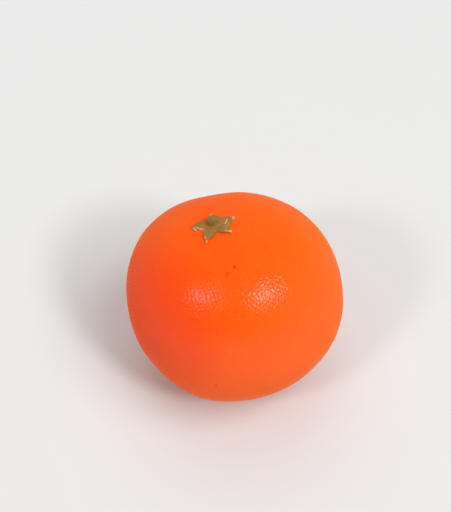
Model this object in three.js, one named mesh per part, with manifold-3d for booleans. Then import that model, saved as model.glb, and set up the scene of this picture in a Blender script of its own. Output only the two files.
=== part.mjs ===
// A small orange as picked: the whole fruit, the five-pointed calyx on its crown and the stub of its stalk.
// Units are millimetres and +Z is up. The fruit rests on the plane z = 0, with the origin under its middle.
import * as THREE from "three";
import { mergeVertices } from "three/addons/utils/BufferGeometryUtils.js";
import Module from "manifold-3d";

// The fruit, measured in its own frame: its middle is the origin and its crown points along +Z.
const equatorRadius = 33;
const crownHeight = 31.6;
const tipHeight = 30.4;
const squareness = 2.27; // exponent of the side view's outline, where 2 is an ellipse
const oval = { share: 0.028, angle: -15 }; // the cross-section is longest this way, in degrees from +X
const threeSided = { share: 0.014, angle: 3 };
const facetSplits = 15; // how often each edge of the icosahedron is divided

// The crown dips a little round the calyx, and shallow furrows run out of the dip.
const crownDip = { depth: 0.8, radius: 9 };
const furrows = { count: 7, depth: 0.22, radius: 13, width: 5 };
const tipDip = { depth: 0.4, radius: 2.2 };

// The crown leans towards -X and towards +Y, in degrees, and the skin rests on a small flat spot.
const lean = { towardsMinusX: 10.8, towardsPlusY: 10.4 };
const restDepth = 0.8;

// The calyx: lobe angles are in degrees from +X, lengths run from the middle to each tip, and each
// notch is the distance from the middle to the hollow before the next lobe.
const lobes = [
  { angle: 12, length: 6.4, notch: 3.0 },
  { angle: 103, length: 4.4, notch: 3.1 },
  { angle: 181, length: 6.9, notch: 3.8 },
  { angle: 253, length: 7.9, notch: 3.8 },
  { angle: 316, length: 7.6, notch: 4.6 },
];
const heartRadius = 2.7; // the round part that the lobes grow from
const lobeTaper = 1.5; // above 1 the sides of a lobe hollow towards its tip
const sepal = { thickness: 0.6, edge: 0.3, lift: 0.35, liftFrom: 3.5 };
const collar = { radius: 2.35, width: 0.4, height: 0.25 };
const scarSeat = { radius: 1.95, floor: 0.35, slope: 0.15 };

// The calyx's mesh: rings 0 to 1 are circles, and rings 1 to 2 widen from the heart into the lobes.
const seatRings = [scarSeat.radius - scarSeat.slope, scarSeat.radius + scarSeat.slope, collar.radius];
const rings = [0, ...seatRings.map((radius) => radius / heartRadius), 1, 1.25, 1.5, 1.75, 2];
const lobeSteps = 16;

// The stub where the stalk broke off: its side view as shares of its radius and of its height.
const scar = { radius: 1.5, height: 2.1 };
const scarProfile = [
  [0, 0], [0.95, 0], [1, 0.08], [0.98, 0.45], [0.9, 0.68], [0.72, 0.87], [0.4, 0.97], [0, 1],
];
const scarSides = 20;

const fitGap = 0.3; // between pieces that touch

const wasm = await Module();
wasm.setup();

const gaussian = (distance, width) => Math.exp(-((distance / width) ** 2));

// Merges shared vertices, so that the geometry is one closed surface with nothing but positions.
function weld(geometry, tolerance) {
  geometry.deleteAttribute("normal");
  geometry.deleteAttribute("uv");
  return mergeVertices(geometry, tolerance);
}

function reshape(geometry, place) {
  const position = geometry.getAttribute("position");
  const point = new THREE.Vector3();
  for (let i = 0; i < position.count; i++) {
    place(point.fromBufferAttribute(position, i));
    position.setXYZ(i, point.x, point.y, point.z);
  }
  return geometry;
}

function toSolid(geometry) {
  return new wasm.Manifold(
    new wasm.Mesh({
      numProp: 3,
      vertProperties: new Float32Array(geometry.getAttribute("position").array),
      triVerts: new Uint32Array(geometry.index.array),
    }),
  );
}

function toGeometry(solid) {
  const { vertProperties, triVerts } = solid.getMesh();
  const geometry = new THREE.BufferGeometry();
  geometry.setAttribute("position", new THREE.BufferAttribute(vertProperties, 3));
  geometry.setIndex(new THREE.BufferAttribute(triVerts, 1));
  geometry.computeVertexNormals();
  return geometry;
}

// How far the skin is drawn in towards the middle at the crown and at the tip.
function drawnIn(fromAxis, azimuth, onCrown) {
  if (!onCrown) return tipDip.depth * gaussian(fromAxis, tipDip.radius);
  const dip = crownDip.depth * gaussian(fromAxis, crownDip.radius);
  const furrow = 0.5 + 0.5 * Math.cos(furrows.count * azimuth);
  return dip + furrows.depth * furrow * gaussian(fromAxis - furrows.radius, furrows.width);
}

// The distance from the fruit's middle to its skin, in the direction of a polar angle and an azimuth.
function skinRadius(polar, azimuth) {
  const sine = Math.sin(polar);
  const cosine = Math.cos(polar);
  const height = cosine > 0 ? crownHeight : tipHeight;
  const across = (sine / equatorRadius) ** squareness;
  const along = (Math.abs(cosine) / height) ** squareness;
  const turned = azimuth - THREE.MathUtils.degToRad(oval.angle);
  const turned3 = azimuth - THREE.MathUtils.degToRad(threeSided.angle);
  const uneven = 1 + oval.share * sine ** 2 * Math.cos(2 * turned)
    + threeSided.share * sine ** 3 * Math.cos(3 * turned3);
  const radius = (across + along) ** (-1 / squareness) * uneven;
  return radius - drawnIn(radius * sine, azimuth, cosine > 0);
}

// The height of the skin above the fruit's middle, at a place on the crown beside the axis.
function crownSkin(x, y) {
  const azimuth = Math.atan2(y, x);
  const beside = Math.hypot(x, y);
  let polar = beside / crownHeight;
  for (let i = 0; i < 6; i++) polar = Math.asin(beside / skinRadius(polar, azimuth));
  return skinRadius(polar, azimuth) * Math.cos(polar);
}

// The whole fruit, with the part that would lie under the resting plane cut away.
function fruitGeometry(leaning) {
  const ball = weld(new THREE.IcosahedronGeometry(1, facetSplits), 1e-4);
  reshape(ball, (p) => {
    const polar = Math.acos(THREE.MathUtils.clamp(p.z, -1, 1));
    p.setLength(skinRadius(polar, Math.atan2(p.y, p.x)));
  });
  const leant = ball.clone().applyMatrix4(leaning.matrix);
  leant.computeBoundingBox();
  leaning.position.z = -leant.boundingBox.min.z - restDepth;
  leaning.updateMatrix();
  const blockSide = 4 * equatorRadius;
  const below = weld(new THREE.BoxGeometry(blockSide, blockSide, blockSide), 1e-4);
  below.translate(0, 0, -blockSide / 2);
  below.applyMatrix4(leaning.matrix.clone().invert());
  return toGeometry(toSolid(ball).subtract(toSolid(below)));
}

// The calyx's outline: how far it reaches and at which angle, for a turn of 0 to 5 lobes.
function calyxEdge(turn) {
  const nearest = Math.round(turn);
  const index = nearest % lobes.length;
  const side = Math.sign(turn - nearest);
  const away = Math.abs(turn - nearest);
  const lobe = lobes[index];
  const next = lobes[(index + side + lobes.length) % lobes.length];
  const notch = side < 0 ? next.notch : lobe.notch;
  const between = side * THREE.MathUtils.euclideanModulo(side * (next.angle - lobe.angle), 360);
  return {
    reach: THREE.MathUtils.lerp(notch, lobe.length, (1 - 2 * away) ** lobeTaper),
    angle: THREE.MathUtils.degToRad(lobe.angle + away * between),
  };
}

// The calyx is a thin blade that thins towards its tips, with a collar round the seat of the scar.
function calyxThickness(ring, beside) {
  const blade = THREE.MathUtils.lerp(sepal.thickness, sepal.edge, Math.max(0, ring - 1));
  const rim = collar.height * gaussian(beside - collar.radius, collar.width);
  const { radius, floor, slope } = scarSeat;
  const outside = THREE.MathUtils.smoothstep(beside, radius - slope, radius + slope);
  return THREE.MathUtils.lerp(floor, blade + rim, outside);
}

function calyxGeometry() {
  const underside = rings.map((ring) => new THREE.Vector2(ring, 0));
  const upperSide = rings.toReversed().map((ring) => new THREE.Vector2(ring, 1));
  const steps = lobes.length * lobeSteps;
  const disc = new THREE.LatheGeometry([...underside, ...upperSide], steps);
  disc.rotateX(Math.PI / 2);
  const seatHeight = crownSkin(0, 0);
  return reshape(disc, (p) => {
    const ring = Math.hypot(p.x, p.y);
    const turn = THREE.MathUtils.euclideanModulo(Math.atan2(p.y, p.x) / (2 * Math.PI), 1);
    const edge = calyxEdge((Math.round(turn * steps) % steps) / lobeSteps);
    const heart = heartRadius * Math.min(ring, 1);
    const beside = THREE.MathUtils.lerp(heart, edge.reach, Math.max(0, ring - 1));
    const lift = fitGap + sepal.lift * Math.max(0, beside / sepal.liftFrom - 1) ** 2;
    const thickness = p.z > 0.5 ? calyxThickness(ring, beside) : 0;
    const x = beside * Math.cos(edge.angle);
    const y = beside * Math.sin(edge.angle);
    p.set(x, y, crownSkin(x, y) - seatHeight + lift + thickness);
  });
}

function scarGeometry() {
  const profile = scarProfile.map(([r, h]) => new THREE.Vector2(r * scar.radius, h * scar.height));
  return new THREE.LatheGeometry(profile, scarSides).rotateX(Math.PI / 2);
}

function piece(name, geometry, color, roughness) {
  const material = new THREE.MeshStandardMaterial({ color, roughness });
  const mesh = new THREE.Mesh(geometry, material);
  mesh.name = name;
  return mesh;
}

const leaning = new THREE.Group();
leaning.rotation.x = -THREE.MathUtils.degToRad(lean.towardsPlusY);
leaning.rotation.y = -THREE.MathUtils.degToRad(lean.towardsMinusX);
leaning.updateMatrix();

const fruit = piece("fruit", fruitGeometry(leaning), 0xf96a1c, 0.4);
const calyx = piece("calyx", calyxGeometry(), 0x9a7233, 0.6);
calyx.position.z = crownSkin(0, 0);
const stemScar = piece("stem_scar", scarGeometry(), 0x8a6a36, 0.8);
stemScar.position.z = calyx.position.z + fitGap + scarSeat.floor + fitGap;
leaning.add(fruit, calyx, stemScar);

const orange = new THREE.Group();
orange.add(leaning);
const middle = new THREE.Box3().setFromObject(orange, true).getCenter(new THREE.Vector3());
orange.position.set(-middle.x, -middle.y, 0);

export default orange;
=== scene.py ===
import math

import bmesh
import bpy
import numpy as np
from mathutils import Matrix, Vector, noise
from mathutils.bvhtree import BVHTree


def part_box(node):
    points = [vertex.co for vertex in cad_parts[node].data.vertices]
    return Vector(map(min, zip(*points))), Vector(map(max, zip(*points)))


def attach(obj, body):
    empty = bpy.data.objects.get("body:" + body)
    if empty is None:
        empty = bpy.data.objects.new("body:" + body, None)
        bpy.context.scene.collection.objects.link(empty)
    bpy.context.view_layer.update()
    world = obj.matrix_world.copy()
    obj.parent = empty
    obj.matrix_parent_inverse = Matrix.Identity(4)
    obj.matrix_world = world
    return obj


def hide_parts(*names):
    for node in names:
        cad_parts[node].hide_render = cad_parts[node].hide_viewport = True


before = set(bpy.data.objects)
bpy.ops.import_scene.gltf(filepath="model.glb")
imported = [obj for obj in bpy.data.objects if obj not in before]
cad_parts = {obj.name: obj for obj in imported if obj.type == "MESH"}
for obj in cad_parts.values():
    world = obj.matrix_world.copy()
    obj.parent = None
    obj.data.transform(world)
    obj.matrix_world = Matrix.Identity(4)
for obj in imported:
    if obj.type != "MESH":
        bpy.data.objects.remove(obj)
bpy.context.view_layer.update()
print("frame loaded")

millimetre = 0.001

# how the fruit lies, in degrees: its crown points up and leans this much
fruitLean = {"towardsMinusX": 10.8, "towardsPlusY": 10.4}


class Wire:
    # one socket of a node tree, which works in sums; without a socket it only holds the tree
    def __init__(self, tree, socket=None):
        self.tree = tree
        self.socket = socket

    # adds a node: its settings first, then the values or wires of its sockets
    def node(self, kind, settings=None, sockets=None, output=0):
        made = self.tree.nodes.new(kind)
        for name, value in (settings or {}).items():
            if name == "stops":
                setStops(made.color_ramp, value)
            else:
                setattr(made, name, value)
        for name, value in (sockets or {}).items():
            if isinstance(value, Wire):
                self.tree.links.new(value.socket, made.inputs[name])
            else:
                made.inputs[name].default_value = value
        return Wire(self.tree, made.outputs[output] if len(made.outputs) else None)

    def maths(self, operation, first, second):
        return self.node("ShaderNodeMath", {"operation": operation}, {0: first, 1: second})

    def __add__(self, other):
        return self.maths("ADD", self, other)

    def __radd__(self, other):
        return self.maths("ADD", other, self)

    def __sub__(self, other):
        return self.maths("SUBTRACT", self, other)

    def __rsub__(self, other):
        return self.maths("SUBTRACT", other, self)

    def __mul__(self, other):
        return self.maths("MULTIPLY", self, other)

    def __rmul__(self, other):
        return self.maths("MULTIPLY", other, self)

    # 0 below low, 1 above high, and a smooth step between them
    def step(self, low, high):
        ends = {"Value": self, "From Min": low, "From Max": high}
        return self.node("ShaderNodeMapRange", {"interpolation_type": "SMOOTHSTEP"}, ends)

    # the first colour where this is 0 and the second where it is 1
    def mix(self, first, second):
        # a Mix node's colours are its sockets 6 and 7, and come out at 2
        sockets = {0: self, 6: asColour(first), 7: asColour(second)}
        return self.node("ShaderNodeMix", {"data_type": "RGBA"}, sockets, output=2)

    # a vector sum, or with DISTANCE and DOT_PRODUCT a value, which comes out at 1
    def vector(self, operation, other):
        output = 1 if operation in ("DISTANCE", "DOT_PRODUCT") else 0
        return self.node("ShaderNodeVectorMath", {"operation": operation}, {0: self, 1: other}, output)


def asColour(colour):
    return colour if isinstance(colour, Wire) else (*colour, 1.0)


def setStops(ramp, stops):
    while len(ramp.elements) < len(stops):
        ramp.elements.new(0.5)
    for element, (place, colour) in zip(ramp.elements, stops):
        element.position = place
        element.color = asColour(colour)


# clears the nodes of a material or of the world, for new ones
def emptyTree(owner):
    owner.use_nodes = True
    owner.node_tree.nodes.clear()
    return Wire(owner.node_tree)


def newMaterial(name):
    material = bpy.data.materials.new(name)
    return material, emptyTree(material)


# the closing nodes of a material; bumpHeight is in units of bumpDepth
def finishMaterial(shader, sockets, bumpHeight=None, bumpDepth=0.0):
    if bumpHeight is not None:
        sockets["Normal"] = shader.node("ShaderNodeBump", None, {"Height": bumpHeight, "Distance": bumpDepth})
    surface = shader.node("ShaderNodeBsdfPrincipled", {"subsurface_method": "RANDOM_WALK"}, sockets)
    shader.node("ShaderNodeOutputMaterial", None, {"Surface": surface})


# noise from 0 to 1 with a mean of about one half
def noiseOver(place, kind):
    sockets = {"Vector": place, "Scale": kind["scale"], "Detail": kind["detail"]}
    return place.node("ShaderNodeTexNoise", None, sockets, "Fac")


# the same noise about 0
def spreadOf(grain):
    return grain - 0.5


# a value that the mesh keeps at its points
def meshValue(shader, name):
    return shader.node("ShaderNodeAttribute", {"attribute_name": name}, output="Fac")


def newObject(name, data):
    made = bpy.data.objects.new(name, data)
    bpy.context.scene.collection.objects.link(made)
    return made


def gaussian(distance, width):
    return math.exp(-((distance / width) ** 2))


def smoothStep(value, low, high):
    share = min(max((value - low) / (high - low), 0.0), 1.0)
    return share * share * (3 - 2 * share)


def lerp(first, second, share):
    return first + (second - first) * share


# where things are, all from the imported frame
ownAxes = (
    Matrix.Rotation(-math.radians(fruitLean["towardsPlusY"]), 3, "X")
    @ Matrix.Rotation(-math.radians(fruitLean["towardsMinusX"]), 3, "Y")
)
crownAxis = ownAxes @ Vector((0, 0, 1))


def middleOf(box):
    return (box[0] + box[1]) / 2


fruitMiddle = middleOf(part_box("fruit"))
scarMiddle = middleOf(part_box("stem_scar"))


# a direction in the fruit's own frame: azimuth round its axis, polar angle from its crown
def ownDirection(azimuth, polar):
    turn, tilt = math.radians(azimuth), math.radians(polar)
    away = Vector((math.cos(turn) * math.sin(tilt), math.sin(turn) * math.sin(tilt), math.cos(tilt)))
    return ownAxes @ away


def worldDirection(azimuth, elevation):
    turn, rise = math.radians(azimuth), math.radians(elevation)
    return Vector((math.cos(turn) * math.cos(rise), math.sin(turn) * math.cos(rise), math.sin(rise)))


# 1 where a direction points towards a side, which is an azimuth and an elevation, and 0 away from
# it; it changes between the two cosines
def towardsMask(away, side):
    middle = tuple(worldDirection(*side["towards"]))
    return away.vector("DOT_PRODUCT", middle).step(*side["between"])


view = {
    "azimuth": -90,
    "elevation": 54.0,  # degrees above the floor
    "distance": 0.4468,  # to the middle of the fruit
    "lens": 100.0,
    "nearest": 0.01,  # nothing nearer than this is seen
    "aimAbove": 12.7 * millimetre,  # the camera aims this far above the fruit's middle
    "aimLeft": 2.6 * millimetre,  # and this far to the left of it
    "towards": Vector((-0.4, 0.05, -0.85)) * millimetre,  # from the box's middle to the fruit's own
}


def makeCamera():
    back = worldDirection(view["azimuth"], view["elevation"])
    right = worldDirection(view["azimuth"] + 90, 0)
    middle = fruitMiddle + view["towards"]
    aim = middle + right.cross(-back) * view["aimAbove"] - right * view["aimLeft"]
    camera = newObject("camera", bpy.data.cameras.new("camera"))
    camera.data.lens = view["lens"]
    camera.data.clip_start = view["nearest"]
    camera.location = middle + back * view["distance"]
    camera.rotation_euler = (aim - camera.location).to_track_quat("-Z", "Y").to_euler()
    bpy.context.scene.camera = camera


# softboxes: where they hang, how wide they look from the fruit in degrees, and their share
# of the light that falls on the floor
lamps = {
    "distance": 10.0,
    "softboxes": {
        "key": {"azimuth": -46, "elevation": 44, "width": 12, "share": 0.24, "shines": True},
        "keyGlow": {"azimuth": -27, "elevation": 60, "width": 32, "share": 0.345, "shines": False},
        "fill": {"azimuth": -137, "elevation": 44, "width": 10, "share": 0.14, "shines": True},
        "top": {"azimuth": -120, "elevation": 80, "width": 50, "share": 0.13, "shines": False},
        "back": {"azimuth": 98, "elevation": 55, "width": 50, "share": 0.18, "shines": False},
    },
}


def makeSoftbox(name, box):
    light = bpy.data.lights.new(name, "AREA")
    light.shape = "DISK"
    distance, rise = lamps["distance"], math.radians(box["elevation"])
    light.size = 2 * distance * math.tan(math.radians(box["width"] / 2))
    # the watts that light a white floor to this share of white
    light.energy = box["share"] * math.pi ** 2 * distance ** 2 / math.sin(rise)
    lamp = newObject(name, light)
    towards = worldDirection(box["azimuth"], box["elevation"])
    lamp.location = fruitMiddle + towards * distance
    lamp.rotation_euler = towards.to_track_quat("Z", "Y").to_euler()
    lamp.visible_camera = False
    lamp.visible_glossy = box["shines"]


# the room is warm below and grey above, and darker on its open side
room = {
    "below": (0.54, 0.48, 0.43),
    "above": (0.25, 0.245, 0.24),
    "turns": (0.67, 0.79),  # heights between which the colour turns: 0 is straight below, 1 above
    "opening": {"towards": (-90, 5), "between": (0.45, 0.85), "loss": 0.5},
}


def makeRoom():
    world = bpy.data.worlds.new("room")
    shader = emptyTree(world)
    direction = shader.node("ShaderNodeTexCoord", output="Generated")
    height = shader.node("ShaderNodeSeparateXYZ", None, {0: direction}, "Z")
    stops = list(zip(room["turns"], (room["below"], room["above"])))
    tone = shader.node("ShaderNodeValToRGB", {"stops": stops}, {"Fac": height * 0.5 + 0.5})
    opening = room["opening"]
    tone = (towardsMask(direction, opening) * opening["loss"]).mix(tone, (0.0, 0.0, 0.0))
    light = shader.node("ShaderNodeBackground", None, {"Color": tone})
    shader.node("ShaderNodeOutputWorld", None, {"Surface": light})
    bpy.context.scene.world = world


floorFinish = {"radius": 8.0, "sides": 96, "colour": (0.685, 0.70, 0.70), "roughness": 0.7, "gloss": 0.2}


def makeFloor():
    outline = bmesh.new()
    bmesh.ops.create_circle(
        outline, cap_ends=True, segments=floorFinish["sides"], radius=floorFinish["radius"]
    )
    mesh = bpy.data.meshes.new("floor")
    outline.to_mesh(mesh)
    outline.free()
    floor = newObject("floor", mesh)
    material, shader = newMaterial("studio paper")
    finishMaterial(shader, {
        "Base Color": asColour(floorFinish["colour"]),
        "Roughness": floorFinish["roughness"],
        "Specular IOR Level": floorFinish["gloss"],
    })
    mesh.materials.append(material)


makeCamera()
for name, box in lamps["softboxes"].items():
    makeSoftbox(name, box)
makeRoom()
makeFloor()
bpy.context.scene.view_settings.view_transform = "Standard"
print("camera, light and floor made")


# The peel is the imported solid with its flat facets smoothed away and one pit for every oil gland.
peelPlan = {
    "glands": 10400,  # which sets them about 1.2 mm apart
    "scatter": 0.16,  # how far each is off an even spread, in shares of their spacing
    "seed": 12,
    "ring": 0.5,  # a ring of points round each gland, as a share of the way to its cell's corners
    "smoothing": 8,  # passes that take the facets away
    "lumps": [(11.0, 0.12), (4.5, 0.045)],  # width and height of the uneven skin, in millimetres
    "fuller": {"elevation": -60, "width": 18, "height": 1.2},  # a ring round the underside
    "pit": 0.145 * millimetre,  # usual depth of a pit
    "uneven": 0.3,  # the depths differ by up to this share
    "above": 0.02 * millimetre,  # the flat spot stays this far above the floor
    # broad swellings and hollows: azimuth and elevation of their middle, width in degrees and
    # height in millimetres
    "swells": [
        (108, 33, 15, -0.6),
        (151, 19, 14, 0.45),
        (40, 30, 22, 0.3),
        (-141, -25, 14, -0.5),
        (-105, -35, 16, 0.2),
    ],
    "finish": {
        "colour": (0.985, 0.104, 0.001),
        "redderAndShadeColour": (0.975, 0.064, 0.001),  # painted shade on the side away from the key lamp, and also the peel's own redder patches
        # painted shade: the peel turns redder and darker towards this side, where less light falls
        "paintedShadeSide": {"towards": (-147, 15), "between": (0.6, 0.97)},
        # painted light: the peel turns yellower and lighter towards the side of the key lamp
        "paintedLightColour": (1.0, 0.128, 0.001),
        "paintedLightSide": {"towards": (-10, 25), "between": (0.0, 1.0), "share": 0.8},
        "patches": {"scale": 90.0, "detail": 3.0, "share": 0.5},  # redder here and there
        "glandColour": (0.93, 0.085, 0.001),
        "glandShare": 0.35,
        "grain": {"scale": 2600.0, "detail": 2.0, "height": 0.0015 * millimetre},  # the finest roughness
        "roughness": 0.55,
        "roughnessRange": 0.1,
        "gloss": 0.05,
        "glossTint": (1.0, 0.9, 0.75),
        "wax": 0.5,  # the shine of the skin's wax
        "waxRoughness": 0.18,
        "waxEnds": (0.2, 0.75),  # it fades as the skin turns edge on, where the pits hide it
        "under": 0.8,  # share of the light that goes under the skin
        "underReach": 2.0 * millimetre,
        "underSpread": (1.0, 0.6, 0.35),  # how far red, green and blue go there
        "bloom": 0.15,  # the dusty paleness of a skin seen edge on
        "bloomRoughness": 0.35,
        "bloomTint": (1.0, 0.85, 0.7),
    },
    # dark specks, and at the end two painted shadows of the calyx's lobes on the skin: azimuth and polar
    # angle on the fruit, radius in millimetres, strength
    "specksAndPaintedShadows": [
        (-73.8, 33.2, 0.58, 0.85),
        (-80.1, 35.4, 0.38, 0.6),
        (-81.6, 36.0, 0.38, 0.75),
        (-83.1, 36.6, 0.38, 0.6),
        (-102.5, 102.3, 0.55, 0.8),
        (-33.5, 100.1, 0.38, 0.5),
        (-26.2, 99.4, 0.35, 0.25),
        (-68.6, 85.2, 0.35, 0.25),
        # painted shadows that the calyx's lobes cast on the skin beside them
        (-128.0, 9.6, 1.1, 0.3),
        (144.0, 8.2, 0.8, 0.2),
    ],
    # each speck and painted shadow is full within its core and gone outside its rim, both in shares of its
    # radius
    "speckAndPaintedShadow": {"colour": (0.62, 0.02, 0.0), "core": 0.4, "rim": 1.2, "ragged": 0.6 * millimetre},
}


# directions spread evenly round the fruit on a spiral, each a little off its place
def glandDirections(chance):
    count = peelPlan["glands"]
    place = np.arange(count) + 0.5
    polar = np.arccos(1 - 2 * place / count)
    goldenTurn = math.pi * (1 + math.sqrt(5))
    turn = goldenTurn * place
    away = np.stack([np.cos(turn) * np.sin(polar), np.sin(turn) * np.sin(polar), np.cos(polar)], 1)
    spacing = math.sqrt(4 * math.pi / count)
    away += chance.uniform(-1, 1, away.shape) * peelPlan["scatter"] * spacing
    return away / np.linalg.norm(away, axis=1, keepdims=True)


# joins neighbouring glands by triangles, all turned outwards: the hull of points on a ball
def glandTriangles(away):
    ball = bmesh.new()
    for direction in away:
        ball.verts.new(direction)
    ball.verts.index_update()
    bmesh.ops.convex_hull(ball, input=ball.verts[:])
    bmesh.ops.triangulate(ball, faces=ball.faces[:])
    triangles = np.array([[v.index for v in face.verts] for face in ball.faces])
    ball.free()
    first, second, third = (away[triangles[:, i]] for i in range(3))
    inwards = (np.cross(second - first, third - first) * first).sum(1) < 0
    triangles[inwards] = triangles[inwards][:, ::-1]
    return triangles


# Carries values of the glands over to every point of the peel: the glands, the rings round them,
# and the corners where three cells meet.
def overPeel(values, triangles):
    glands = values[triangles]
    corners = glands.mean(1, keepdims=True)
    rings = glands + (corners - glands) * peelPlan["ring"]
    return np.concatenate([values, rings.reshape(-1, *values.shape[1:]), corners[:, 0]])


# Faces between those points. Each directed side of a triangle is one sixth of a gland's cell: it
# lies between the triangle's own corner at the gland, which is near, and the one across the side.
def cellFaces(triangles, count):
    sides = triangles.size
    gland, neighbour = triangles.ravel(), np.roll(triangles, -1, 1).ravel()
    codes = gland * count + neighbour
    order = np.argsort(codes)
    across = order[np.searchsorted(codes[order], neighbour * count + gland)]
    near = np.arange(sides)
    far = np.where(across % 3 == 2, across - 2, across + 1)
    ringNear, ringFar = count + near, count + far
    cornerNear, cornerFar = count + sides + near // 3, count + sides + far // 3
    inner = np.stack([gland, ringFar, ringNear], 1)
    outer = np.stack([ringFar, cornerFar, cornerNear, ringNear], 1)
    return inner.tolist() + outer.tolist()


# evens out one number per gland among neighbours
def smoothed(values, triangles, passes):
    here, there = triangles.ravel(), np.roll(triangles, -1, 1).ravel()
    count = np.bincount(here)
    for _ in range(passes):
        values = 0.5 * values + 0.5 * np.bincount(here, values[there]) / count
    return values


def treeOf(mesh):
    return BVHTree.FromPolygons([v.co for v in mesh.vertices], [p.vertices for p in mesh.polygons])


def skinReach(tree, away):
    return tree.ray_cast(fruitMiddle, away)[3]


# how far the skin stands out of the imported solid
def unevenness(away):
    height = 0.0
    for width, amount in peelPlan["lumps"]:
        height += amount * noise.noise(away * (fruitMiddle.z / (width * millimetre)))
    for azimuth, elevation, width, amount in peelPlan["swells"]:
        height += amount * gaussian(math.degrees(away.angle(worldDirection(azimuth, elevation))), width)
    fuller = peelPlan["fuller"]
    below = math.degrees(math.asin(away.z)) - fuller["elevation"]
    height += fuller["height"] * gaussian(below, fuller["width"])
    return height * millimetre


# a mesh with the values that its material reads at each point
def newPiece(name, points, faces, tones):
    mesh = bpy.data.meshes.new(name)
    mesh.from_pydata(points, [], faces)
    mesh.shade_smooth()
    for tone, values in tones.items():
        mesh.attributes.new(tone, "FLOAT", "POINT").data.foreach_set("value", values)
    return newObject(name, mesh)


def makeFruit():
    chance = np.random.default_rng(peelPlan["seed"])
    glands = glandDirections(chance)
    triangles = glandTriangles(glands)
    depth = chance.uniform(1 - peelPlan["uneven"], 1 + peelPlan["uneven"], len(glands))
    onRings = depth[triangles].ravel() * (1 - smoothStep(peelPlan["ring"], 0, 1))
    pits = np.concatenate([depth, onRings, np.zeros(len(triangles))])

    solid = treeOf(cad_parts["fruit"].data)
    reach = np.array([skinReach(solid, Vector(a)) for a in glands])
    reach = overPeel(smoothed(reach, triangles, peelPlan["smoothing"]), triangles)
    away = overPeel(glands, triangles)
    away /= np.linalg.norm(away, axis=1, keepdims=True)
    reach += np.array([unevenness(Vector(a)) for a in away]) - pits * peelPlan["pit"]
    points = np.array(fruitMiddle) + away * reach[:, None]
    points[:, 2] = np.maximum(points[:, 2], peelPlan["above"])
    return newPiece("peel", points, cellFaces(triangles, len(glands)), {"pit": pits})


# tree is the skin on which the specks lie
def peelMaterial(tree):
    material, shader = newMaterial("citrus peel")
    finish, speckAndShadowFinish = peelPlan["finish"], peelPlan["speckAndPaintedShadow"]
    place = shader.node("ShaderNodeTexCoord", output="Object")
    fromMiddle = place.vector("SUBTRACT", tuple(fruitMiddle))
    away = shader.node("ShaderNodeVectorMath", {"operation": "NORMALIZE"}, {0: fromMiddle})
    pits = meshValue(shader, "pit")
    patches = noiseOver(place, finish["patches"])
    grain = noiseOver(place, finish["grain"])

    # painted shade on the side away from the key lamp, painted light on the side towards it
    paintedShade = towardsMask(away, finish["paintedShadeSide"])
    # light holds the painted light on the key lamp's side
    light = towardsMask(away, finish["paintedLightSide"]) * finish["paintedLightSide"]["share"]
    colour = paintedShade.mix(finish["colour"], finish["redderAndShadeColour"])
    colour = light.mix(colour, finish["paintedLightColour"])
    colour = (spreadOf(patches) * finish["patches"]["share"]).mix(colour, finish["redderAndShadeColour"])
    colour = (pits * finish["glandShare"]).mix(colour, finish["glandColour"])
    marks = 0.0
    # the peel's own specks, and painted shadows under the calyx's lobes
    for azimuth, polar, radius, strength in peelPlan["specksAndPaintedShadows"]:
        direction = ownDirection(azimuth, polar)
        spot = fruitMiddle + direction * skinReach(tree, direction)
        spread = place.vector("DISTANCE", tuple(spot)) + spreadOf(grain) * speckAndShadowFinish["ragged"]
        core, rim = speckAndShadowFinish["core"] * radius, speckAndShadowFinish["rim"] * radius
        speckAndPaintedShadow = (1 - spread.step(core * millimetre, rim * millimetre)) * strength
        colour = speckAndPaintedShadow.mix(colour, speckAndShadowFinish["colour"])
        marks = speckAndPaintedShadow + marks

    edgeOn = shader.node("ShaderNodeLayerWeight", None, {"Blend": 0.5}, "Facing")
    finishMaterial(
        shader,
        {
            "Base Color": colour,
            "Roughness": finish["roughness"] + spreadOf(grain) * finish["roughnessRange"],
            "Coat Weight": (1 - edgeOn.step(*finish["waxEnds"])) * (1 - marks) * finish["wax"],
            "Coat Roughness": finish["waxRoughness"],
            "Specular IOR Level": finish["gloss"],
            "Specular Tint": asColour(finish["glossTint"]),
            "Sheen Weight": finish["bloom"],
            "Sheen Roughness": finish["bloomRoughness"],
            "Sheen Tint": asColour(finish["bloomTint"]),
            "Subsurface Weight": finish["under"],
            "Subsurface Radius": finish["underSpread"],
            "Subsurface Scale": finish["underReach"],
        },
        grain,
        finish["grain"]["height"],
    )
    return material


fruit = makeFruit()
peelTree = treeOf(fruit.data)
fruit.data.materials.append(peelMaterial(peelTree))
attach(fruit, "root")
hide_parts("fruit")
print("peel made,", len(fruit.data.polygons), "faces")

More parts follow.
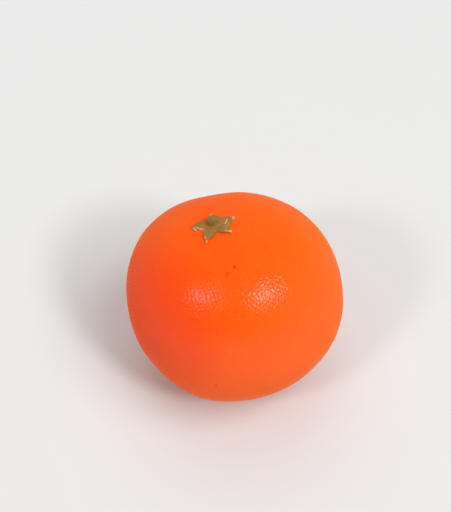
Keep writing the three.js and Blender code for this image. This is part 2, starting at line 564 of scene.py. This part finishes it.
# The calyx: a thick five-pointed star with a collar round the stub, draped on the crown.
# Angles are in degrees from the fruit's own +X and lengths in millimetres. A notch is the hollow
# before the next lobe. Beyond bendFrom a lobe turns sideways by bend degrees; its end rises by lift.
# slimFrom and paleFrom are shares of a lobe's length. Starts are the radii between which something
# comes up.
calyxPlan = {
    "lobes": [
        {"angle": 11, "length": 6.4, "notch": 2.7, "taper": 1.3, "slim": 1.0, "slimFrom": 0.5,
         "bendFrom": 4.6, "bendOver": 1.8, "bend": 14, "lift": 0.35, "pale": 0.8, "paleFrom": 0.76},
        {"angle": 105, "length": 4.4, "notch": 3.0, "taper": 0.7, "slim": 0.85, "slimFrom": 0.5,
         "bendFrom": 3.4, "bendOver": 1.0, "bend": 8, "lift": 0.25, "pale": 0.5, "paleFrom": 0.9},
        {"angle": 181, "length": 9.8, "notch": 3.9, "taper": 1.9, "slim": 0.3, "slimFrom": 0.46,
         "bendFrom": 5.9, "bendOver": 1.2, "bend": 124, "lift": 0.45, "pale": 1.0, "paleFrom": 0.5},
        {"angle": 252, "length": 8.5, "notch": 3.8, "taper": 1.5, "slim": 0.55, "slimFrom": 0.7,
         "bendFrom": 5.6, "bendOver": 2.9, "bend": 20, "lift": 0.45, "pale": 1.0, "paleFrom": 0.78},
        {"angle": 316, "length": 7.6, "notch": 4.6, "taper": 1.35, "slim": 0.6, "slimFrom": 0.66,
         "bendFrom": 5.0, "bendOver": 2.6, "bend": 8, "lift": 0.45, "pale": 0.9, "paleFrom": 0.82},
    ],
    "offAxis": (-0.15, -0.5),  # the star grew this far off the fruit's axis
    "lobeSteps": 44,
    "rings": 34,
    # how the surface turns over the edge and back underneath: shares of the reach and of the height
    "edge": [(0.99, 0.88), (1.0, 0.6), (1.0, 0.3), (0.985, 0.06), (0.95, 0.0), (0.8, 0.0), (0.5, 0.0)],
    "heart": {"height": 0.75, "ends": (1.2, 3.6)},  # the thick middle, and the radii between which it ends
    "blade": 0.5,  # thickness of the lobes
    "tip": 0.26,
    "tipFrom": 0.5,  # share of its length where a lobe starts to thin and to rise
    "slimOver": 0.2,
    "collar": {"radius": 2.0, "width": 0.5, "height": 0.08},
    "rib": {"width": 0.30, "height": 0.14, "starts": (2.4, 3.2)},
    # the rim's paleness is a painted highlight, where light catches the edges
    "rim": {"width": 0.26, "height": 0.10, "starts": (2.6, 3.6), "pale": 0.15, "paleStarts": (2.6, 4.5)},
    # width and height of its creases
    "crumple": {"kinds": [(1.3, 0.14), (0.45, 0.05)], "seed": 3.7, "starts": (1.4, 3.0)},
    "paleTo": 0.98,
    "sunk": 0.12,  # the underside is pressed this far into the skin
    "sunkEnds": (0.05, 0.2),  # but not where a lobe rises by more than this
    "sag": 0.06,  # under its edge a risen lobe hangs this far below
    "sagFrom": 0.7,
    # short folds: both ends across the crown, width and height in millimetres, how pale; the first fold's
    # paleness is a painted highlight, the glint along its ridge
    "folds": [
        # its paleness is a painted highlight along the ridge
        {"from": (3.95, 0.75), "to": (3.35, -0.9), "width": 0.21, "height": 0.34, "pale": 1.0},
        {"from": (-5.8, -0.8), "to": (-3.1, -2.5), "width": 0.26, "height": 0.26, "pale": 1.0},
        {"from": (-2.7, -6.2), "to": (-2.5, -5.7), "width": 0.26, "height": 0.18, "pale": 0.9},
        {"from": (5.2, -4.9), "to": (3.4, -4.2), "width": 0.22, "height": 0.16, "pale": 0.6},
        {"from": (-0.2, 4.2), "to": (-1.5, 3.7), "width": 0.24, "height": 0.14, "pale": 0.5},
        {"from": (1.0, -1.9), "to": (1.8, -1.4), "width": 0.20, "height": 0.24, "pale": 0.6},
        {"from": (-3.8, -0.5), "to": (-3.3, -0.4), "width": 0.24, "height": 0.12, "pale": 0.4},
        {"from": (-1.1, -4.9), "to": (-0.8, -4.6), "width": 0.24, "height": 0.12, "pale": 0.4},
        {"from": (3.6, -2.9), "to": (4.4, -1.6), "width": 1.3, "height": 0.06, "pale": 0.35},
    ],
    # browner patches: place, width and strength
    "shades": [
        (1.6, -2.3, 0.9, 0.8),
        (-1.4, -1.6, 1.3, 0.45),
        (1.3, -0.2, 0.8, 0.7),
        (-3.9, 0.5, 0.9, 0.6),
        (-0.9, -2.6, 0.8, 0.5),
    ],
    "finish": {
        "colour": (0.37, 0.165, 0.028),
        "green": (0.30, 0.165, 0.028),
        "greenBetween": (0.38, 0.62),  # values of the blotches where the colour turns green
        "dark": (0.20, 0.085, 0.014),
        "darkBetween": (0.42, 0.70),  # and of the fibres where it turns dark
        "darkShare": 0.5,
        "shadeShare": 0.6,
        "pale": (0.77, 0.43, 0.20),
        "paleBetween": (0.15, 0.95),
        "blotches": {"scale": 520.0, "detail": 3.0},
        "fibres": {"scale": 2600.0, "detail": 3.0},
        "relief": {"height": 0.07 * millimetre, "blotches": 0.6},
        "roughness": 0.48,
        "roughnessRange": 0.3,
        "gloss": 0.4,
        "under": 0.1,  # share of the light that goes under the surface
        "underReach": 0.5 * millimetre,
        "underSpread": (1.0, 0.5, 0.2),
    },
}


# places on the skin of the crown, found by rays that run down the fruit's axis
class Crown:
    headroom = 10  # the rays start this many millimetres above

    def __init__(self, tree):
        self.tree = tree
        self.seat = self.drop(scarMiddle + ownAxes @ Vector((*calyxPlan["offAxis"], 0)) * millimetre)

    def drop(self, place):
        high = place + crownAxis * self.headroom * millimetre
        return self.tree.ray_cast(high, -crownAxis)[0]

    # a place in millimetres beside the middle of the star and above the skin
    def point(self, x, y, height):
        beside = self.seat + ownAxes @ Vector((x, y, 0)) * millimetre
        return self.drop(beside) + crownAxis * height * millimetre


# the lobe that a turn of 0 to 5 falls in, and how far and at which angle the edge lies there
def calyxEdge(turn):
    lobes = calyxPlan["lobes"]
    nearest = round(turn)
    side = 1 if turn > nearest else -1
    lobe = lobes[nearest % len(lobes)]
    other = lobes[(nearest + side) % len(lobes)]
    hollow = lobe if side > 0 else other
    away = abs(turn - nearest)
    between = side * (side * (other["angle"] - lobe["angle"]) % 360)
    reach = lerp(hollow["notch"], lobe["length"], (1 - 2 * away) ** lobe["taper"])
    return lobe, reach, math.radians(away * between)


# where a point lies that is this far along a lobe and beside its middle line, which may bend
def alongLobe(lobe, along, beside):
    bent = min(max(along - lobe["bendFrom"], 0), lobe["bendOver"])
    beyond = max(along - lobe["bendFrom"] - lobe["bendOver"], 0)
    straight = along - bent - beyond
    radius = lobe["bendOver"] / math.radians(lobe["bend"])
    turned = bent / radius
    x = straight + radius * math.sin(turned) + beyond * math.cos(turned) - beside * math.sin(turned)
    y = radius * (1 - math.cos(turned)) + beyond * math.sin(turned) + beside * math.cos(turned)
    angle = math.radians(lobe["angle"])
    return x * math.cos(angle) - y * math.sin(angle), x * math.sin(angle) + y * math.cos(angle)


# how high the folds stand at a place on the calyx, and how pale they make it, which on the first fold is a
# painted highlight
def foldsAt(x, y):
    height, pale = 0.0, 0.0
    for fold in calyxPlan["folds"]:
        start, end = Vector(fold["from"]), Vector(fold["to"])
        line = end - start
        share = min(max((Vector((x, y)) - start).dot(line) / line.length_squared, 0), 1)
        near = gaussian((Vector((x, y)) - start - line * share).length, fold["width"])
        height += fold["height"] * near
        pale += fold["pale"] * near
    return height, pale


# how brown the shades make a place on the calyx
def shadeAt(x, y):
    shade = 0.0
    for right, up, width, strength in calyxPlan["shades"]:
        shade += strength * gaussian(math.hypot(x - right, y - up), width)
    return shade


# height of the fine creases at a place
def creases(x, y, crumple):
    height = 0.0
    for width, amount in crumple["kinds"]:
        height += amount * noise.noise(Vector((x / width, y / width, crumple["seed"])))
    return height


# One point of the calyx, how pale and how brown it is there: share is 0 in the middle and 1 at the
# edge, upper is 1 on top and 0 below.
def calyxPoint(crown, turn, share, upper):
    shape = calyxPlan
    heart, collar, rib, rim, crumple = (shape[key] for key in ("heart", "collar", "rib", "rim", "crumple"))
    lobe, reach, off = calyxEdge(turn)
    radius = share * reach
    along, beside = radius * math.cos(off), radius * math.sin(off)
    outward = along / lobe["length"]
    slimmed = smoothStep(outward, lobe["slimFrom"], lobe["slimFrom"] + shape["slimOver"])
    beside *= lerp(1, lobe["slim"], slimmed)
    x, y = alongLobe(lobe, along, beside)
    nearTip = smoothStep(outward, shape["tipFrom"], 1)
    lift = lobe["lift"] * nearTip
    blade = lerp(shape["blade"], shape["tip"], nearTip)
    onRim = gaussian((1 - share) * reach, rim["width"])
    onRib = gaussian(beside, rib["width"]) * smoothStep(along, *rib["starts"]) * (1 - outward ** 2)
    onCollar = gaussian(radius - collar["radius"], collar["width"])
    fold, foldPale = foldsAt(x, y)
    top = lift + lerp(heart["height"], blade, smoothStep(radius, *heart["ends"])) + fold
    top += onCollar * collar["height"] + onRib * rib["height"]
    top += onRim * rim["height"] * smoothStep(radius, *rim["starts"])
    top += creases(x, y, crumple) * smoothStep(radius, *crumple["starts"])
    under = max(lift - shape["sag"], 0) * smoothStep(share, shape["sagFrom"], 1)
    under -= shape["sunk"] * (1 - smoothStep(lift, *shape["sunkEnds"]))
    pale = lobe["pale"] * smoothStep(outward, lobe["paleFrom"], shape["paleTo"])
    # painted highlight along the rim
    pale += rim["pale"] * onRim * smoothStep(radius, *rim["paleStarts"])
    return crown.point(x, y, lerp(under, top, upper)), min(pale + foldPale, 1), min(shadeAt(x, y), 1)


# number of a point on one of several closed rings; the points before the rings come first
def ringPoint(first, steps, ring, step):
    return first + ring * steps + step % steps


# the faces between rings that follow one another
def ringFaces(first, steps, rings):
    faces = []
    for ring in range(rings - 1):
        for step in range(steps):
            corners = ((ring, step), (ring + 1, step), (ring + 1, step + 1), (ring, step + 1))
            faces.append(tuple(ringPoint(first, steps, *corner) for corner in corners))
    return faces


# triangles from a point to the sides of a ring; turned, they face the other way
def fanFaces(point, first, steps, ring, turned=False):
    pairs = [(ringPoint(first, steps, ring, i), ringPoint(first, steps, ring, i + 1)) for i in range(steps)]
    return [(point, there, here) if turned else (point, here, there) for here, there in pairs]


def makeCalyx(crown):
    shape = calyxPlan
    steps = len(shape["lobes"]) * shape["lobeSteps"]
    rings = [(i / shape["rings"], 1.0) for i in range(1, shape["rings"])] + shape["edge"]
    made = [calyxPoint(crown, 0, 0.0, 1.0), calyxPoint(crown, 0, 0.0, 0.0)]  # the middle, above and below
    first = len(made)
    for share, upper in rings:
        for step in range(steps):
            made.append(calyxPoint(crown, step / shape["lobeSteps"], share, upper))
    points, pale, shade = zip(*made)
    faces = fanFaces(0, first, steps, 0) + ringFaces(first, steps, len(rings))
    faces += fanFaces(1, first, steps, len(rings) - 1, turned=True)
    return newPiece("calyx_star", points, faces, {"pale": pale, "shade": shade})


def calyxMaterial():
    material, shader = newMaterial("dried calyx")
    finish = calyxPlan["finish"]
    place = shader.node("ShaderNodeTexCoord", output="Object")
    blotches = noiseOver(place, finish["blotches"])
    fibres = noiseOver(place, finish["fibres"])
    colour = blotches.step(*finish["greenBetween"]).mix(finish["colour"], finish["green"])
    colour = (fibres.step(*finish["darkBetween"]) * finish["darkShare"]).mix(colour, finish["dark"])
    colour = (meshValue(shader, "shade") * finish["shadeShare"]).mix(colour, finish["dark"])
    # pale dry tips, with painted highlights along the rims and on the first fold
    colour = meshValue(shader, "pale").step(*finish["paleBetween"]).mix(colour, finish["pale"])
    finishMaterial(
        shader,
        {
            "Base Color": colour,
            "Roughness": finish["roughness"] + spreadOf(fibres) * finish["roughnessRange"],
            "Specular IOR Level": finish["gloss"],
            "Subsurface Weight": finish["under"],
            "Subsurface Radius": finish["underSpread"],
            "Subsurface Scale": finish["underReach"],
        },
        fibres + blotches * finish["relief"]["blotches"],
        finish["relief"]["height"],
    )
    return material


crown = Crown(peelTree)
calyx = makeCalyx(crown)
calyx.data.materials.append(calyxMaterial())
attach(calyx, "root")
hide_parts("calyx")
print("calyx made")

# the stub that the stalk broke from: a low woody knob, in millimetres
stubPlan = {
    "radius": 1.5,
    "foot": 0.35,  # height of its foot, which is inside the star
    "height": 2.75,
    "steps": 72,
    "rings": 22,
    "innermost": 0.002,  # smallest radius of a ring, as a share
    "wavy": {"share": 0.05, "turns": 1.5, "seed": 8.1},  # how its radius differs round about
    # width and height of its creases, which come up between two shares of its height
    "crumple": {"kinds": [(0.9, 0.14), (0.3, 0.05)], "seed": 5.3, "starts": (0.2, 0.9)},
    "offAxis": (-0.6, 0.1),  # from the middle of the star
    # painted shade: the knob is darker about this place
    "dark": {"at": (0.0, -1.2), "width": 0.9},
    # side view: shares of its radius and height
    "profile": [
        (0.0, 1.0), (0.3, 0.99), (0.56, 0.95), (0.76, 0.87), (0.9, 0.73), (0.98, 0.52),
        (1.03, 0.3), (1.12, 0.12), (1.4, 0.0),
    ],
    "finish": {
        "colour": (0.31, 0.155, 0.024),
        "green": (0.255, 0.155, 0.024),
        "greenBetween": (0.40, 0.60),
        "dark": (0.12, 0.055, 0.013),
        "darkBetween": (0.45, 0.68),
        "darkShare": 0.35,
        "paintedKnobShadeShare": 0.5,
        "blotches": {"scale": 700.0, "detail": 2.0},
        "grain": {"scale": 2200.0, "detail": 4.0, "height": 0.10 * millimetre},
        "roughness": 0.62,
        "roughnessRange": 0.3,
    },
}


# a point of a side view, at this share of its way
def profileAt(profile, share):
    place = share * (len(profile) - 1)
    index = min(int(place), len(profile) - 2)
    near, far = profile[index], profile[index + 1]
    return lerp(near[0], far[0], place - index), lerp(near[1], far[1], place - index)


def makeStub(crown):
    shape = stubPlan
    wavy, crumple, dark = shape["wavy"], shape["crumple"], shape["dark"]
    steps = shape["steps"]
    right, up = shape["offAxis"]
    points, bark = [crown.point(right, up, shape["foot"])], [0.0]  # the middle of its foot
    first = len(points)
    for ring in range(shape["rings"] + 1):
        beside, rise = profileAt(shape["profile"], ring / shape["rings"])
        for step in range(steps):
            turn = 2 * math.pi * step / steps
            across, along = math.cos(turn), math.sin(turn)
            bulge = noise.noise(Vector((across * wavy["turns"], along * wavy["turns"], wavy["seed"])))
            radius = max(beside, shape["innermost"]) * shape["radius"] * (1 + wavy["share"] * bulge)
            x, y = radius * across, radius * along
            height = lerp(shape["foot"], shape["height"], rise)
            height += creases(x, y, crumple) * smoothStep(rise, *crumple["starts"])
            points.append(crown.point(right + x, up + y, height))
            # painted shade, strongest about the dark place
            bark.append(gaussian(math.hypot(x - dark["at"][0], y - dark["at"][1]), dark["width"]))
    faces = [tuple(ringPoint(first, steps, 0, i) for i in range(steps))]
    faces += ringFaces(first, steps, shape["rings"] + 1)
    faces += fanFaces(0, first, steps, shape["rings"], turned=True)
    return newPiece("stalk_stub", points, faces, {"bark": bark})


def stubMaterial():
    material, shader = newMaterial("woody stub")
    finish = stubPlan["finish"]
    place = shader.node("ShaderNodeTexCoord", output="Object")
    blotches = noiseOver(place, finish["blotches"])
    grain = noiseOver(place, finish["grain"])
    colour = blotches.step(*finish["greenBetween"]).mix(finish["colour"], finish["green"])
    colour = (grain.step(*finish["darkBetween"]) * finish["darkShare"]).mix(colour, finish["dark"])
    # painted shade on the knob
    colour = (meshValue(shader, "bark") * finish["paintedKnobShadeShare"]).mix(colour, finish["dark"])
    roughness = finish["roughness"] + spreadOf(grain) * finish["roughnessRange"]
    finishMaterial(shader, {"Base Color": colour, "Roughness": roughness}, grain, finish["grain"]["height"])
    return material


stub = makeStub(crown)
stub.data.materials.append(stubMaterial())
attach(stub, "root")
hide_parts("stem_scar")
print("stub made")
